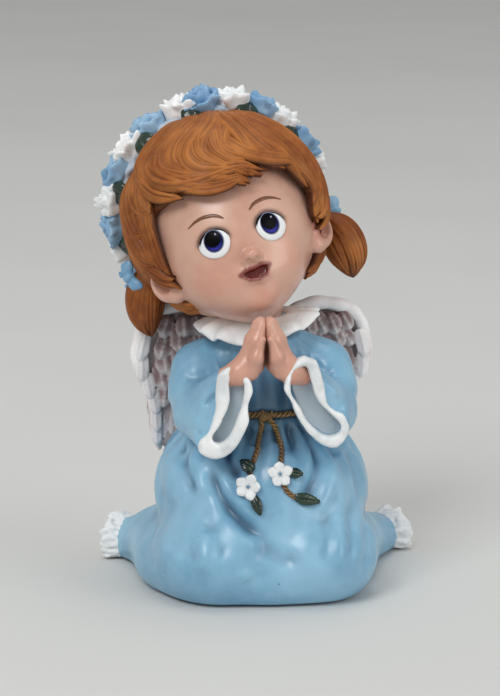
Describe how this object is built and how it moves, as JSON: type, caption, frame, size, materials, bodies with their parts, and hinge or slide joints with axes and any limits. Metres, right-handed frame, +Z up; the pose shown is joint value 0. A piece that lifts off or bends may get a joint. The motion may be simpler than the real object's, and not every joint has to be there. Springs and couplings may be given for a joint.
{
  "type": "resin angel figurine",
  "caption": "Kneeling child angel figurine in painted cast resin, with praying hands, folded wings, pigtails, a rose wreath and a cord belt, resting on a flat felt pad.",
  "frame": {"origin": "on the table, in the face of the felt pad that the figurine rests on, below its middle", "axes": "+Z up, -Y the way the figure faces, +X its own left"},
  "size_m": [0.0941, 0.0767, 0.1446],
  "materials": {
    "robe_paint": "light blue satin paint on cast resin",
    "felt": "thin dark felt",
    "white_trim": "brushed white paint",
    "skin_paint": "soft satin skin paint",
    "hair_paint": "auburn paint with a dark wash in the grooves",
    "eye_paint": "white paint with a dark painted iris, varnished",
    "bow_paint": "blue paint",
    "wing_paint": "dry-brushed white over a mauve wash",
    "gold_cord": "bronze-gold paint",
    "wreath_paint": "pale lilac-blue paint",
    "white_rose_paint": "thick white paint",
    "blue_rose_paint": "thick blue paint",
    "leaf_paint": "dark green gloss paint"
  },
  "bodies": {
    "root": {"robe_body": "robe_paint", "base_pad": "felt", "collar": "white_trim", "head": "skin_paint", "hair_cap": "hair_paint", "left_eye": "eye_paint", "right_eye": "eye_paint", "left_pigtail": "hair_paint", "right_pigtail": "hair_paint", "left_bow": "bow_paint", "right_bow": "bow_paint", "left_sleeve": "robe_paint", "right_sleeve": "robe_paint", "left_cuff": "white_trim", "right_cuff": "white_trim", "left_hand": "skin_paint", "right_hand": "skin_paint", "left_foot": "skin_paint", "right_foot": "skin_paint", "left_hem_trim": "white_trim", "right_hem_trim": "white_trim", "left_wing": "wing_paint", "right_wing": "wing_paint", "left_wing_coverts": "wing_paint", "right_wing_coverts": "wing_paint", "left_wing_flight_feathers": "wing_paint", "right_wing_flight_feathers": "wing_paint", "wreath_ring": "wreath_paint", "white_roses": "white_rose_paint", "blue_roses": "blue_rose_paint", "wreath_leaves": "leaf_paint", "rope_belt": "gold_cord", "belt_knot": "gold_cord", "left_cord_end": "gold_cord", "right_cord_end": "gold_cord", "belt_flowers": "white_trim", "flower_centres": "bow_paint", "belt_leaves": "leaf_paint"}
  },
  "joints": []
}
